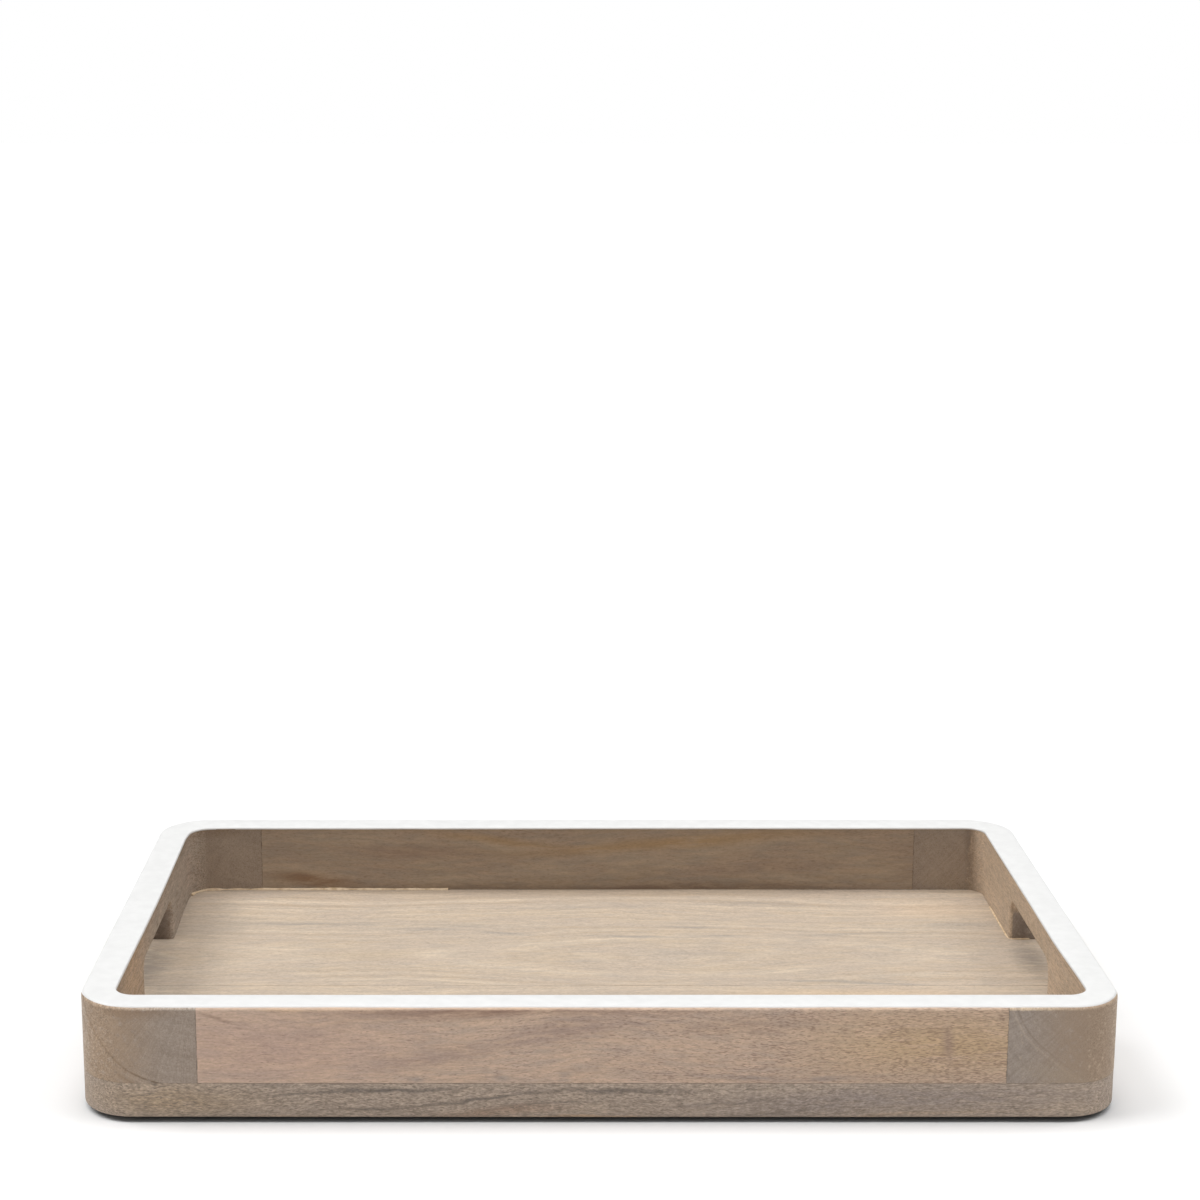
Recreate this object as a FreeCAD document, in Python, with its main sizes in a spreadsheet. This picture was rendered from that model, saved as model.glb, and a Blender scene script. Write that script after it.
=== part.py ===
import FreeCAD, Part
import os
import re
import Sketcher
from FreeCAD import Placement, Rotation, Vector

# A rectangular serving tray of solid mango wood with a white enamelled rim.
#
# Two edge-glued boards make the base. On it stand two long rails and two C-shaped end
# pieces, each sawn from one wide board, which meet in dowelled butt joints. The hand slots
# are notches in the undersides of the end pieces, closed below by the base. Screws from
# underneath hold the walls to the base, and four felt pads carry the tray.
#
# Frame: the origin is the middle of the tray on the surface that it stands on,
# +X along the length, +Y towards the back and +Z up. All sizes are in millimetres.

doc = FreeCAD.newDocument("serving_tray")
sizes = doc.addObject("Spreadsheet::Sheet", "sizes")

DRIVING_SIZES = [
    ("tray_length", 600, "overall length along X"),
    ("tray_depth", 364, "overall depth along Y"),
    ("outer_radius", 32, "corner radius of the outline"),
    ("inner_radius", 12, "corner radius inside the walls"),
    ("wall_thickness", 20, "rails and end walls"),
    ("wall_height", 45, "wooden walls above the base"),
    ("base_thickness", 21, "base boards"),
    ("front_board_width", 155, "front board of the base, the back one has the rest"),
    ("base_edge_radius", 1.5, "round-over along the bottom edge"),
    ("end_width", 70, "length of an end piece along X, out to the butt joint"),
    ("slot_length", 118, "hand slot along Y"),
    ("slot_height", 27, "hand slot above the base"),
    ("slot_corner_radius", 10, "upper corners of the hand slot"),
    ("slot_edge_radius", 3, "round-over at both mouths of the hand slot"),
    ("enamel_thickness", 1, "enamel coat on the rim"),
    ("enamel_edge_radius", 0.6, "rounded edges of the enamel coat"),
    ("dowel_diameter", 8, "dowels in the butt joints"),
    ("dowel_length", 40, "half of it in each piece"),
    ("dowel_chamfer", 1, "chamfer at the ends of a dowel"),
    ("dowel_spacing", 22, "between the two dowels of a joint"),
    ("bore_clearance", 0.1, "bore diameter less dowel diameter"),
    ("bore_end_gap", 1, "glue room past the end of a dowel"),
    ("screw_length", 38, "screw from head to tip"),
    ("screw_diameter", 4, "shank"),
    ("screw_head_diameter", 8, "countersunk head"),
    ("screw_tip_length", 4, "pointed tip"),
    ("screw_recess", 0.6, "depth of the head above the underside"),
    ("screw_clearance", 0.2, "hole diameter less screw diameter"),
    ("screw_margin", 60, "outer rail screws from the butt joint"),
    ("pad_diameter", 24, "felt pads"),
    ("pad_thickness", 3, "felt pads"),
    ("pad_edge_radius", 0.8, "worn lower edge of a pad"),
    ("pad_inset", 45, "pad centre in from the outer faces"),
    ("cut_margin", 2, "how far a cut runs past the face that it opens"),
]

for row, (alias, number, meaning) in enumerate(DRIVING_SIZES, start=1):
    sizes.set("A%d" % row, meaning)
    sizes.set("B%d" % row, str(number))
    sizes.setAlias("B%d" % row, alias)
doc.recompute()

# What one piece takes from another, as formulas of the driving sizes.
HALF_LENGTH = "(tray_length / 2)"
HALF_DEPTH = "(tray_depth / 2)"
BASE_SEAM = "(front_board_width - tray_depth / 2)"
RAIL_LENGTH = "(tray_length - 2 * end_width)"
WALL_MIDDLE_X = "(tray_length / 2 - wall_thickness / 2)"
WALL_MIDDLE_Y = "(tray_depth / 2 - wall_thickness / 2)"
WALL_BOTTOM = "(pad_thickness + base_thickness)"
LOWER_DOWEL = "(wall_height / 2 - dowel_spacing / 2)"
UPPER_DOWEL = "(wall_height / 2 + dowel_spacing / 2)"
BORE_DEPTH = "(dowel_length / 2 + bore_end_gap)"
RAIL_SCREW_X = "(tray_length / 2 - end_width - screw_margin)"
END_SCREW_Y = "(slot_length / 4 + tray_depth / 4 - wall_thickness / 2)"
PILOT_DEPTH = "(screw_length + screw_recess - base_thickness + bore_end_gap)"
SCREW_HEAD_HEIGHT = "((screw_head_diameter - screw_diameter) / 2)"

TINY = 1e-4

pieces = []


def in_sheet(formula):
    """The formula with every size in it named as a cell of the sheet."""
    return re.sub(r"\b([a-z]+(?:_[a-z]+)+)\b", r"sizes.\1", formula)


def number_of(formula):
    """What a formula of the driving sizes comes to now."""
    return float(sizes.evalExpression(in_sheet(formula)))


def bind(thing, setting, formula):
    thing.setExpression(setting, in_sheet(formula))


def new_body(label):
    body = doc.addObject("PartDesign::Body", label)
    body.Label = label
    pieces.append(body)
    return body


def new_sketch(body, name, plane="XY_Plane", offset="0"):
    """An empty sketch on an origin plane of its body, moved along the plane's normal."""
    sketch = body.newObject("Sketcher::SketchObject", name)
    role = [part for part in body.Origin.OriginFeatures if part.Role == plane]
    sketch.AttachmentSupport = [(role[0], "")]
    sketch.MapMode = "FlatFace"
    bind(sketch, "AttachmentOffset.Base.z", offset)
    return sketch


def hold_point(sketch, curve, end, across, up):
    """Fix a point of a curve by its two distances from the sketch's origin."""
    for kind, formula in (("DistanceX", across), ("DistanceY", up)):
        row = sketch.addConstraint(
            Sketcher.Constraint(kind, -1, 1, curve, end, number_of(formula))
        )
        sketch.setExpression("Constraints[%d]" % row, in_sheet(formula))


def draw_rectangle(sketch, left, right, low, high):
    """A rectangle whose sides lie where the four formulas say."""
    x0, x1, y0, y1 = (number_of(side) for side in (left, right, low, high))
    corners = [Vector(x0, y0), Vector(x1, y0), Vector(x1, y1), Vector(x0, y1)]
    lines = [
        sketch.addGeometry(Part.LineSegment(corners[k], corners[(k + 1) % 4]), False)
        for k in range(4)
    ]
    for k, line in enumerate(lines):
        sketch.addConstraint(Sketcher.Constraint("Coincident", line, 2, lines[(k + 1) % 4], 1))
        direction = ("Horizontal", "Vertical")[k % 2]
        sketch.addConstraint(Sketcher.Constraint(direction, line))
    hold_point(sketch, lines[0], 1, left, low)
    hold_point(sketch, lines[2], 1, right, high)


def draw_circle(sketch, across, up, diameter):
    centre = Vector(number_of(across), number_of(up))
    circle = sketch.addGeometry(
        Part.Circle(centre, Vector(0, 0, 1), number_of(diameter) / 2), False
    )
    hold_point(sketch, circle, 3, across, up)
    row = sketch.addConstraint(Sketcher.Constraint("Diameter", circle, number_of(diameter)))
    sketch.setExpression("Constraints[%d]" % row, in_sheet(diameter))


def pad(body, sketch, name, length):
    feature = body.newObject("PartDesign::Pad", name)
    feature.Profile = sketch
    bind(feature, "Length", length)
    doc.recompute()
    return feature


def pocket(body, sketch, name, depth, forwards=False):
    """A cut of the given depth against the sketch's normal, or forwards along it."""
    before = body.Shape.Volume
    feature = body.newObject("PartDesign::Pocket", name)
    feature.Profile = sketch
    feature.Reversed = forwards
    bind(feature, "Length", depth)
    doc.recompute()
    if body.Shape.Volume > before - TINY:
        raise RuntimeError("%s in %s cuts nothing" % (name, body.Label))
    return feature


def dress(body, kind, name, setting, size, chosen):
    """A fillet or chamfer on the edges of the body that the chosen test picks."""
    names = [
        "Edge%d" % number
        for number, edge in enumerate(body.Shape.Edges, start=1)
        if chosen(edge)
    ]
    if not names:
        raise RuntimeError("%s in %s finds no edge" % (name, body.Label))
    base = body.Tip
    feature = body.newObject("PartDesign::" + kind, name)
    feature.Base = (base, names)
    bind(feature, setting, size)
    doc.recompute()
    return feature


def near(a, b):
    return abs(a - b) < TINY


def is_upright(edge):
    """Whether an edge is straight and runs along Z."""
    start, end = (vertex.Point for vertex in (edge.Vertexes[0], edge.Vertexes[-1]))
    return near(start.x, end.x) and near(start.y, end.y) and not near(start.z, end.z)


def lies_at(edge, x=None, y=None, z=None):
    """Whether both ends and the middle of an edge lie on the given planes."""
    middle = edge.valueAt((edge.FirstParameter + edge.LastParameter) / 2)
    points = [vertex.Point for vertex in edge.Vertexes] + [middle]
    wanted = [(axis, value) for axis, value in enumerate((x, y, z)) if value is not None]
    return all(near(point[axis], value) for point in points for axis, value in wanted)


# Base: two boards with the grain along X, edge-glued and trimmed to the tray's outline.
# The underside has countersunk screw holes, and its outer edge is rounded over.
def make_base_board(label, low, high, screw_places):
    body = new_body(label)
    outline = new_sketch(body, label + "_outline")
    draw_rectangle(outline, "-" + HALF_LENGTH, HALF_LENGTH, low, high)
    pad(body, outline, label + "_board", "base_thickness")

    half_depth = number_of(HALF_DEPTH)

    def at_outer_corner(edge):
        point = edge.Vertexes[0].Point
        return is_upright(edge) and near(abs(point.y), half_depth)

    dress(body, "Fillet", label + "_corners", "Radius", "outer_radius", at_outer_corner)

    seam = number_of(BASE_SEAM)

    def on_bottom_rim(edge):
        return lies_at(edge, z=0) and not lies_at(edge, y=seam)

    dress(body, "Fillet", label + "_edge", "Radius", "base_edge_radius", on_bottom_rim)

    holes = new_sketch(body, label + "_holes")
    for across, up in screw_places:
        draw_circle(holes, across, up, "screw_diameter + screw_clearance")
    pocket(body, holes, label + "_drilled", "base_thickness", forwards=True)

    def on_hole_mouth(edge):
        return lies_at(edge, z=0) and edge.isClosed()

    countersink = SCREW_HEAD_HEIGHT + " + screw_recess"
    dress(body, "Chamfer", label + "_countersunk", "Size", countersink, on_hole_mouth)
    bind(body, "Placement.Base.z", "pad_thickness")


def screw_places_of(side):
    """Where the screws of the front (-) or back (+) board stand, as formulas."""
    rail_row = side + WALL_MIDDLE_Y
    end_row = side + END_SCREW_Y
    rail_screws = [(across, rail_row) for across in ("-" + RAIL_SCREW_X, "0", RAIL_SCREW_X)]
    end_screws = [("-" + WALL_MIDDLE_X, end_row), (WALL_MIDDLE_X, end_row)]
    return rail_screws + end_screws


front_screws = screw_places_of("-")
back_screws = screw_places_of("")
make_base_board("base_board_front", "-" + HALF_DEPTH, BASE_SEAM, front_screws)
make_base_board("base_board_back", BASE_SEAM, HALF_DEPTH, back_screws)


# Long rails: straight boards between the end pieces, bored at both ends for the dowels
# and drilled from below for the screws. The back rail is the front one turned round.
def make_rail(label, side, turn):
    body = new_body(label)
    outline = new_sketch(body, label + "_outline")
    half_rail = RAIL_LENGTH + " / 2"
    draw_rectangle(
        outline, "-" + half_rail, half_rail, "-wall_thickness / 2", "wall_thickness / 2"
    )
    pad(body, outline, label + "_board", "wall_height")
    for end, sign, forwards in (("left", "-", True), ("right", "", False)):
        bores = new_sketch(body, label + "_bores_" + end, "YZ_Plane", sign + half_rail)
        for height in (LOWER_DOWEL, UPPER_DOWEL):
            draw_circle(bores, "0", height, "dowel_diameter + bore_clearance")
        pocket(body, bores, label + "_bored_" + end, BORE_DEPTH, forwards)
    pilots = new_sketch(body, label + "_pilots")
    for across in ("-" + RAIL_SCREW_X, "0", RAIL_SCREW_X):
        draw_circle(pilots, across, "0", "screw_diameter + screw_clearance")
    pocket(body, pilots, label + "_piloted", PILOT_DEPTH, forwards=True)
    body.Placement = Placement(Vector(0, 0, 0), Rotation(Vector(0, 0, 1), turn))
    bind(body, "Placement.Base.y", side + WALL_MIDDLE_Y)
    bind(body, "Placement.Base.z", WALL_BOTTOM)


make_rail("front_rail", "-", 0)
make_rail("back_rail", "", 180)


# End pieces: each is one wide board with the grain along Y, sawn to a C so that its two
# short legs turn the corners and meet the rails. The hand slot is a notch in the underside
# with rounded upper corners, eased all round at both mouths for the fingers.
def make_end(label, turn):
    body = new_body(label)
    outline = new_sketch(body, label + "_outline")
    joint_face = "(end_width - tray_length / 2)"
    inner_face = "(wall_thickness - tray_length / 2)"
    inner_side = "(tray_depth / 2 - wall_thickness)"
    draw_rectangle(outline, "-" + HALF_LENGTH, joint_face, "-" + HALF_DEPTH, HALF_DEPTH)
    pad(body, outline, label + "_board", "wall_height")

    hollow = new_sketch(body, label + "_hollow")
    past_joint = joint_face + " + cut_margin"
    draw_rectangle(hollow, inner_face, past_joint, "-" + inner_side, inner_side)
    pocket(body, hollow, label + "_sawn", "wall_height + cut_margin", forwards=True)

    def corner_at(x_formula, y_formula):
        x, y = number_of(x_formula), number_of(y_formula)

        def chosen(edge):
            point = edge.Vertexes[0].Point
            return is_upright(edge) and near(point.x, x) and near(abs(point.y), y)

        return chosen

    outer_corner = corner_at("-" + HALF_LENGTH, HALF_DEPTH)
    inner_corner = corner_at(inner_face, inner_side)
    dress(body, "Fillet", label + "_outer_corners", "Radius", "outer_radius", outer_corner)
    dress(body, "Fillet", label + "_inner_corners", "Radius", "inner_radius", inner_corner)

    slot = new_sketch(body, label + "_slot", "YZ_Plane", "-" + HALF_LENGTH + " - cut_margin")
    half_slot = "slot_length / 2"
    draw_rectangle(slot, "-" + half_slot, half_slot, "-cut_margin", "slot_height")
    pocket(body, slot, label + "_notched", "wall_thickness + 2 * cut_margin", forwards=True)

    slot_top = number_of("slot_height")
    slot_end = number_of(half_slot)
    faces = (number_of("-" + HALF_LENGTH), number_of(inner_face))

    def slot_corner(edge):
        return any(lies_at(edge, y=side, z=slot_top) for side in (-slot_end, slot_end))

    dress(body, "Fillet", label + "_slot_corners", "Radius", "slot_corner_radius", slot_corner)

    def slot_mouth(edge):
        spot = edge.valueAt((edge.FirstParameter + edge.LastParameter) / 2)
        inside = abs(spot.y) < slot_end + TINY and TINY < spot.z < slot_top + TINY
        return inside and any(lies_at(edge, x=face) for face in faces)

    dress(body, "Fillet", label + "_slot_eased", "Radius", "slot_edge_radius", slot_mouth)

    bores = new_sketch(body, label + "_bores", "YZ_Plane", joint_face)
    for side in ("-", ""):
        for height in (LOWER_DOWEL, UPPER_DOWEL):
            draw_circle(bores, side + WALL_MIDDLE_Y, height, "dowel_diameter + bore_clearance")
    pocket(body, bores, label + "_bored", BORE_DEPTH)

    pilots = new_sketch(body, label + "_pilots")
    for side in ("-", ""):
        hole = "screw_diameter + screw_clearance"
        draw_circle(pilots, "-" + WALL_MIDDLE_X, side + END_SCREW_Y, hole)
    pocket(body, pilots, label + "_piloted", PILOT_DEPTH, forwards=True)

    body.Placement = Placement(Vector(0, 0, 0), Rotation(Vector(0, 0, 1), turn))
    bind(body, "Placement.Base.z", WALL_BOTTOM)


make_end("left_end", 0)
make_end("right_end", 180)


# Rim: one continuous coat of white enamel over the tops of all four walls.
def make_rim_enamel():
    body = new_body("rim_enamel")
    band = new_sketch(body, "enamel_band")
    draw_rectangle(band, "-" + HALF_LENGTH, HALF_LENGTH, "-" + HALF_DEPTH, HALF_DEPTH)
    inner_x = "(tray_length / 2 - wall_thickness)"
    inner_y = "(tray_depth / 2 - wall_thickness)"
    draw_rectangle(band, "-" + inner_x, inner_x, "-" + inner_y, inner_y)
    pad(body, band, "enamel_coat", "enamel_thickness")
    half_length = number_of(HALF_LENGTH)
    inner_half = number_of(inner_x)
    top = number_of("enamel_thickness")
    dress(
        body, "Fillet", "enamel_outer_corners", "Radius", "outer_radius",
        lambda edge: is_upright(edge) and near(abs(edge.Vertexes[0].Point.x), half_length),
    )
    dress(
        body, "Fillet", "enamel_inner_corners", "Radius", "inner_radius",
        lambda edge: is_upright(edge) and near(abs(edge.Vertexes[0].Point.x), inner_half),
    )
    dress(
        body, "Fillet", "enamel_soft_edges", "Radius", "enamel_edge_radius",
        lambda edge: lies_at(edge, z=top),
    )
    bind(body, "Placement.Base.z", WALL_BOTTOM + " + wall_height")


make_rim_enamel()


# Dowels: two beech pins in each butt joint, one above the other, hidden in the wood.
def make_dowels(label, x_side, y_side):
    pins = []
    for place, height in (("lower", LOWER_DOWEL), ("upper", UPPER_DOWEL)):
        pin = doc.addObject("PartDesign::Body", label + "_" + place)
        turned = pin.newObject("PartDesign::AdditiveCylinder", label + "_turned_" + place)
        bind(turned, "Radius", "dowel_diameter / 2")
        bind(turned, "Height", "dowel_length")
        doc.recompute()
        dress(
            pin, "Chamfer", label + "_chamfer_" + place, "Size", "dowel_chamfer",
            lambda edge: edge.isClosed() and not is_upright(edge),
        )
        pin.Placement = Placement(Vector(0, 0, 0), Rotation(Vector(0, 1, 0), 90))
        seat = "%s%s / 2 - dowel_length / 2" % (x_side, RAIL_LENGTH)
        bind(pin, "Placement.Base.x", seat)
        bind(pin, "Placement.Base.y", y_side + WALL_MIDDLE_Y)
        bind(pin, "Placement.Base.z", WALL_BOTTOM + " + " + height)
        pins.append(pin)
    pair = doc.addObject("Part::Compound", label)
    pair.Label = label
    pair.Links = pins
    pieces.append(pair)


for y_name, y_side in (("front", "-"), ("back", "")):
    for x_name, x_side in (("left", "-"), ("right", "")):
        make_dowels("dowels_%s_%s" % (y_name, x_name), x_side, y_side)


# Screws: countersunk steel screws driven up through the base into the walls.
def make_screw(name, across, up):
    """One screw: a countersunk head, a plain shank and a pointed tip, in one solid."""
    head_end = "(pad_thickness + screw_recess)"
    shank_start = "(%s + %s)" % (head_end, SCREW_HEAD_HEIGHT)
    shank_length = "(screw_length - %s - screw_tip_length)" % SCREW_HEAD_HEIGHT
    turned = [
        ("head", "Part::Cone", head_end, SCREW_HEAD_HEIGHT),
        ("shank", "Part::Cylinder", shank_start, shank_length),
        ("tip", "Part::Cone", "(%s + %s)" % (shank_start, shank_length), "screw_tip_length"),
    ]
    lengths = {}
    for part, kind, start, length in turned:
        shape = doc.addObject(kind, name + "_" + part)
        bind(shape, "Height", length)
        bind(shape, "Placement.Base.x", across)
        bind(shape, "Placement.Base.y", up)
        bind(shape, "Placement.Base.z", start)
        lengths[part] = shape
    bind(lengths["head"], "Radius1", "screw_head_diameter / 2")
    bind(lengths["head"], "Radius2", "screw_diameter / 2")
    bind(lengths["shank"], "Radius", "screw_diameter / 2")
    bind(lengths["tip"], "Radius1", "screw_diameter / 2")
    bind(lengths["tip"], "Radius2", "screw_diameter / 16")
    screw = doc.addObject("Part::MultiFuse", name)
    screw.Shapes = list(lengths.values())
    return screw


screws = doc.addObject("Part::Compound", "base_screws")
screws.Label = "base_screws"
screws.Links = [
    make_screw("screw_%d" % number, across, up)
    for number, (across, up) in enumerate(front_screws + back_screws, start=1)
]
pieces.append(screws)


# Felt pads: four discs glued under the base near the corners.
def make_felt_pad(label, x_side, y_side):
    body = new_body(label)
    disc = body.newObject("PartDesign::AdditiveCylinder", label + "_disc")
    bind(disc, "Radius", "pad_diameter / 2")
    bind(disc, "Height", "pad_thickness")
    doc.recompute()
    dress(
        body, "Fillet", label + "_worn_edge", "Radius", "pad_edge_radius",
        lambda edge: lies_at(edge, z=0),
    )
    bind(body, "Placement.Base.x", "%s(tray_length / 2 - pad_inset)" % x_side)
    bind(body, "Placement.Base.y", "%s(tray_depth / 2 - pad_inset)" % y_side)


for y_name, y_side in (("front", "-"), ("back", "")):
    for x_name, x_side in (("left", "-"), ("right", "")):
        make_felt_pad("felt_pad_%s_%s" % (y_name, x_name), x_side, y_side)


doc.recompute()
for item in doc.Objects:
    if "Invalid" in item.State or "Error" in item.State:
        raise RuntimeError("%s failed: %s" % (item.Name, item.State))
for piece in pieces:
    if piece.Shape.isNull() or not piece.Shape.isValid():
        raise RuntimeError("%s has no valid shape" % piece.Label)

os.makedirs("parts", exist_ok=True)
for piece in pieces:
    piece.Shape.exportStep(os.path.join("parts", piece.Label + ".step"))
    box = piece.Shape.BoundBox
    print(
        "%-20s %2d solid(s)  %8.1f cm3  z %.1f to %.1f"
        % (piece.Label, len(piece.Shape.Solids), piece.Shape.Volume / 1000, box.ZMin, box.ZMax)
    )
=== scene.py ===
import math
from types import SimpleNamespace

import bmesh
import bpy
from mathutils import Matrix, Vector, noise


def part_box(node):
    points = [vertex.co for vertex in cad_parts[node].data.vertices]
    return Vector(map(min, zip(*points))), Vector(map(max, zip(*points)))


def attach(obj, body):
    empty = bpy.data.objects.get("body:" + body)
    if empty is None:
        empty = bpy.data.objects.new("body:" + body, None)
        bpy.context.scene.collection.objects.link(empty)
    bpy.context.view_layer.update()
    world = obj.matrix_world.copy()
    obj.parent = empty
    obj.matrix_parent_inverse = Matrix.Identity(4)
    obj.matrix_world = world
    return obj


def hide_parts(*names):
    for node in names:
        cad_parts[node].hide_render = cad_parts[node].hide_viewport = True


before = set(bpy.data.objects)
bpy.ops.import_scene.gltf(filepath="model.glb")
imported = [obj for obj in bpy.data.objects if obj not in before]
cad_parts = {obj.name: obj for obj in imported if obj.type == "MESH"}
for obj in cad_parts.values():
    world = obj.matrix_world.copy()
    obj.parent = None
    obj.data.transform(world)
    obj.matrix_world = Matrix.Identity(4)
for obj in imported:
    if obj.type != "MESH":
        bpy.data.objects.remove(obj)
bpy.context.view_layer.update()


# Camera: a long lens a metre and a half in front of the tray and well above it, held level
# from side to side. It stands 41 mm left of the tray's middle, and the lens is shifted as
# much the other way.
MM = 0.001
CAMERA_PLACE = Vector((-40.7, -1471.1, 574.6)) * MM
CAMERA_PITCH = math.radians(11.77)
scene = bpy.context.scene
lens = bpy.data.cameras.new("camera")
lens.sensor_width = 36.0
lens.lens = 72.2
lens.shift_x = 0.0593
lens.clip_end = 100.0
camera = bpy.data.objects.new("camera", lens)
camera.location = CAMERA_PLACE
camera.rotation_euler = (math.pi / 2 - CAMERA_PITCH, 0.0, 0.0)
scene.collection.objects.link(camera)
scene.camera = camera
scene.view_settings.view_transform = "Standard"


# Studio: a seamless sheet of white paper under a row of three soft boxes overhead, left,
# middle and right, in a pale room. The left one is stronger, so the shadow falls right.
FLOOR_SIZE = 60.0
PAPER = "f1f1f1"
LAMP_SPREAD = math.radians(36)
LAMPS = ((-37.0, 1.6), (0.0, 1.3), (37.0, 0.85))
LAMP_FROM_BACK = 0.04
SKY_LIGHT = 0.36
HORIZON_LIGHT = 0.0
DIM_BAND = 0.6


def linear(hex_colour):
    """An sRGB hex colour as linear RGBA."""
    channels = [int(hex_colour[k:k + 2], 16) / 255 for k in (0, 2, 4)]
    bent = [c / 12.92 if c <= 0.04045 else ((c + 0.055) / 1.055) ** 2.4 for c in channels]
    return (*bent, 1.0)


def add(tree, kind, links=(), **settings):
    """A shader node with its settings; its inputs are values, nodes or their outputs."""
    made = tree.nodes.new("ShaderNode" + kind)
    for name, value in settings.items():
        setattr(made, name, value)
    named = links.items() if isinstance(links, dict) else enumerate(links)
    for name, value in named:
        if isinstance(value, bpy.types.Node):
            value = value.outputs[0]
        if isinstance(value, bpy.types.NodeSocket):
            tree.links.new(value, made.inputs[name])
        else:
            made.inputs[name].default_value = value
    return made


def new_material(name):
    """An empty material and its tree of nodes."""
    material = bpy.data.materials.new(name)
    material.use_nodes = True
    material.node_tree.nodes.clear()
    return material, material.node_tree


half = FLOOR_SIZE / 2
floor_mesh = bpy.data.meshes.new("floor")
floor_mesh.from_pydata(
    [(-half, -half, 0), (half, -half, 0), (half, half, 0), (-half, half, 0)], [], [(0, 1, 2, 3)]
)
floor = bpy.data.objects.new("floor", floor_mesh)
scene.collection.objects.link(floor)
paper, tree = new_material("white_paper")
shader = add(tree, "BsdfPrincipled", {
    "Base Color": linear(PAPER), "Roughness": 0.9, "Specular IOR Level": 0.2,
})
add(tree, "OutputMaterial", [shader])
floor_mesh.materials.append(paper)

# The room is white behind the tray, and it lights the tray from above more than from the
# sides.
world = bpy.data.worlds.new("studio")
scene.world = world
world.use_nodes = True
tree = world.node_tree
tree.nodes.clear()
seen = add(tree, "LightPath").outputs["Is Camera Ray"]
look = add(tree, "TexCoord").outputs["Generated"]
height = add(tree, "SeparateXYZ", [look]).outputs["Z"]
glow = add(tree, "MapRange", [height, 0.0, DIM_BAND, HORIZON_LIGHT, SKY_LIGHT])
lit = add(tree, "Background", {"Color": (1, 1, 1, 1), "Strength": glow.outputs[0]})
backdrop = add(tree, "Background", {"Color": (1, 1, 1, 1), "Strength": 1.0})
sky = add(tree, "MixShader", [seen, lit, backdrop])
add(tree, "OutputWorld", [sky])

for lean, power in LAMPS:
    box_light = bpy.data.lights.new("soft_box", "SUN")
    box_light.angle = LAMP_SPREAD
    box_light.energy = power
    beam = Vector((-math.sin(math.radians(lean)), -LAMP_FROM_BACK, -math.cos(math.radians(lean))))
    lamp = bpy.data.objects.new("soft_box", box_light)
    lamp.rotation_euler = beam.to_track_quat("-Z", "Y").to_euler()
    scene.collection.objects.link(lamp)


# Base: two boards glued edge to edge, with the grain along X. They are mango, planed, sanded,
# washed with thin grey stain and wiped, so the stain stays in the pores, the dark rings and
# the joints. The wide back board shows the heart of the plank: two long pointed eyes.
MANGO_IOR = 1.46
JOINT_STAIN = "5a534e"
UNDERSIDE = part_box("base_board_front")[0].z / MM
BASE_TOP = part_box("base_board_front")[1].z / MM
BASE_SEAM_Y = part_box("base_board_front")[1].y / MM
JOINT_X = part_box("front_rail")[1].x / MM

# Patterns in the wood, each its size along and across the grain in mm and its detail: clouds
# where the stain took more or less, streaks, the fibres, grit (the torn surface that they
# leave) and pores. The fibres are finer than a millimetre and are drawn coarser to show.
CLOUDS = (60, 20, 4.0)
STREAKS = (22, 2.8, 3.0)
FIBRES = (8, 1.0, 2.0)
GRIT = (2.2, 0.8, 2.0)
PORES = (3.2, 0.45, 1.5)
END_SPECKLE = 1.1
# The fibres aren't straight: they drift over 170 mm, waver over 24 mm and ripple over 9,
# each by its share of the board's drift.
WANDER = (((170, 55, 1.0), 1.0), ((24, 10, 1.0), 0.15), ((9, 5, 1.0), 0.07))
# Each board's patterns are cut from another place in the noise.
SEED_STEPS = (317.0, 911.0, 533.0)
# A ring that stands out has a light line outside it, and it fades towards the back.
LIGHT_LINE = 2.5
RING_FADE = (-150.0, 50.0)
# A stain goes right through the board on the axis that it isn't drawn on.
THROUGH = 9999.0


def in_millimetres(tree):
    """The place on the tray, in millimetres."""
    place = add(tree, "TexCoord").outputs["Object"]
    return add(tree, "VectorMath", {0: place, "Scale": 1 / MM}, operation="SCALE")


def drawn_out(tree, place, grain, shift, size):
    """Noise drawn out along the grain, from its size along, its size across and its detail."""
    along, across, detail = size
    scale = [1 / across] * 3
    scale[grain] = 1 / along
    place = add(tree, "Mapping", {0: place, "Location": shift, "Scale": scale})
    return add(tree, "TexNoise", {"Vector": place, "Scale": 1.0, "Detail": detail})


def wandering(tree, at, grain, shift, drift):
    """Places in the wood, moved as its fibres wander."""
    sway = at
    for size, share in WANDER:
        cloud = drawn_out(tree, at, grain, shift, size)
        swing = add(tree, "VectorMath", [cloud.outputs["Color"], (0.5,) * 3], operation="SUBTRACT")
        limits = [share * drift] * 3
        limits[grain] = 0.0
        swing = add(tree, "VectorMath", [swing, limits], operation="MULTIPLY")
        sway = add(tree, "VectorMath", [sway, swing], operation="ADD")
    return sway


def from_heart(tree, sway, along, grain, heart, eyes):
    """The way from the middle of the log to a place, across the grain."""
    middle = [heart[0], heart[0], heart[1]]
    middle[grain] = 0.0
    across = [1.0, 1.0, 1.0]
    across[grain] = 0.0
    section = add(tree, "VectorMath", [sway, middle], operation="SUBTRACT")
    section = add(tree, "VectorMath", [section, across], operation="MULTIPLY")
    if eyes:
        first, spacing, height = eyes
        turn = add(tree, "Math", [along, -first], operation="ADD")
        turn = add(tree, "Math", [turn, math.tau / spacing], operation="MULTIPLY")
        turn = add(tree, "Math", [turn], operation="COSINE")
        hump = add(tree, "Math", [turn, height], operation="MULTIPLY")
        hump = add(tree, "CombineXYZ", {"Z": hump})
        section = add(tree, "VectorMath", [section, hump], operation="ADD")
    return section


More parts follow.
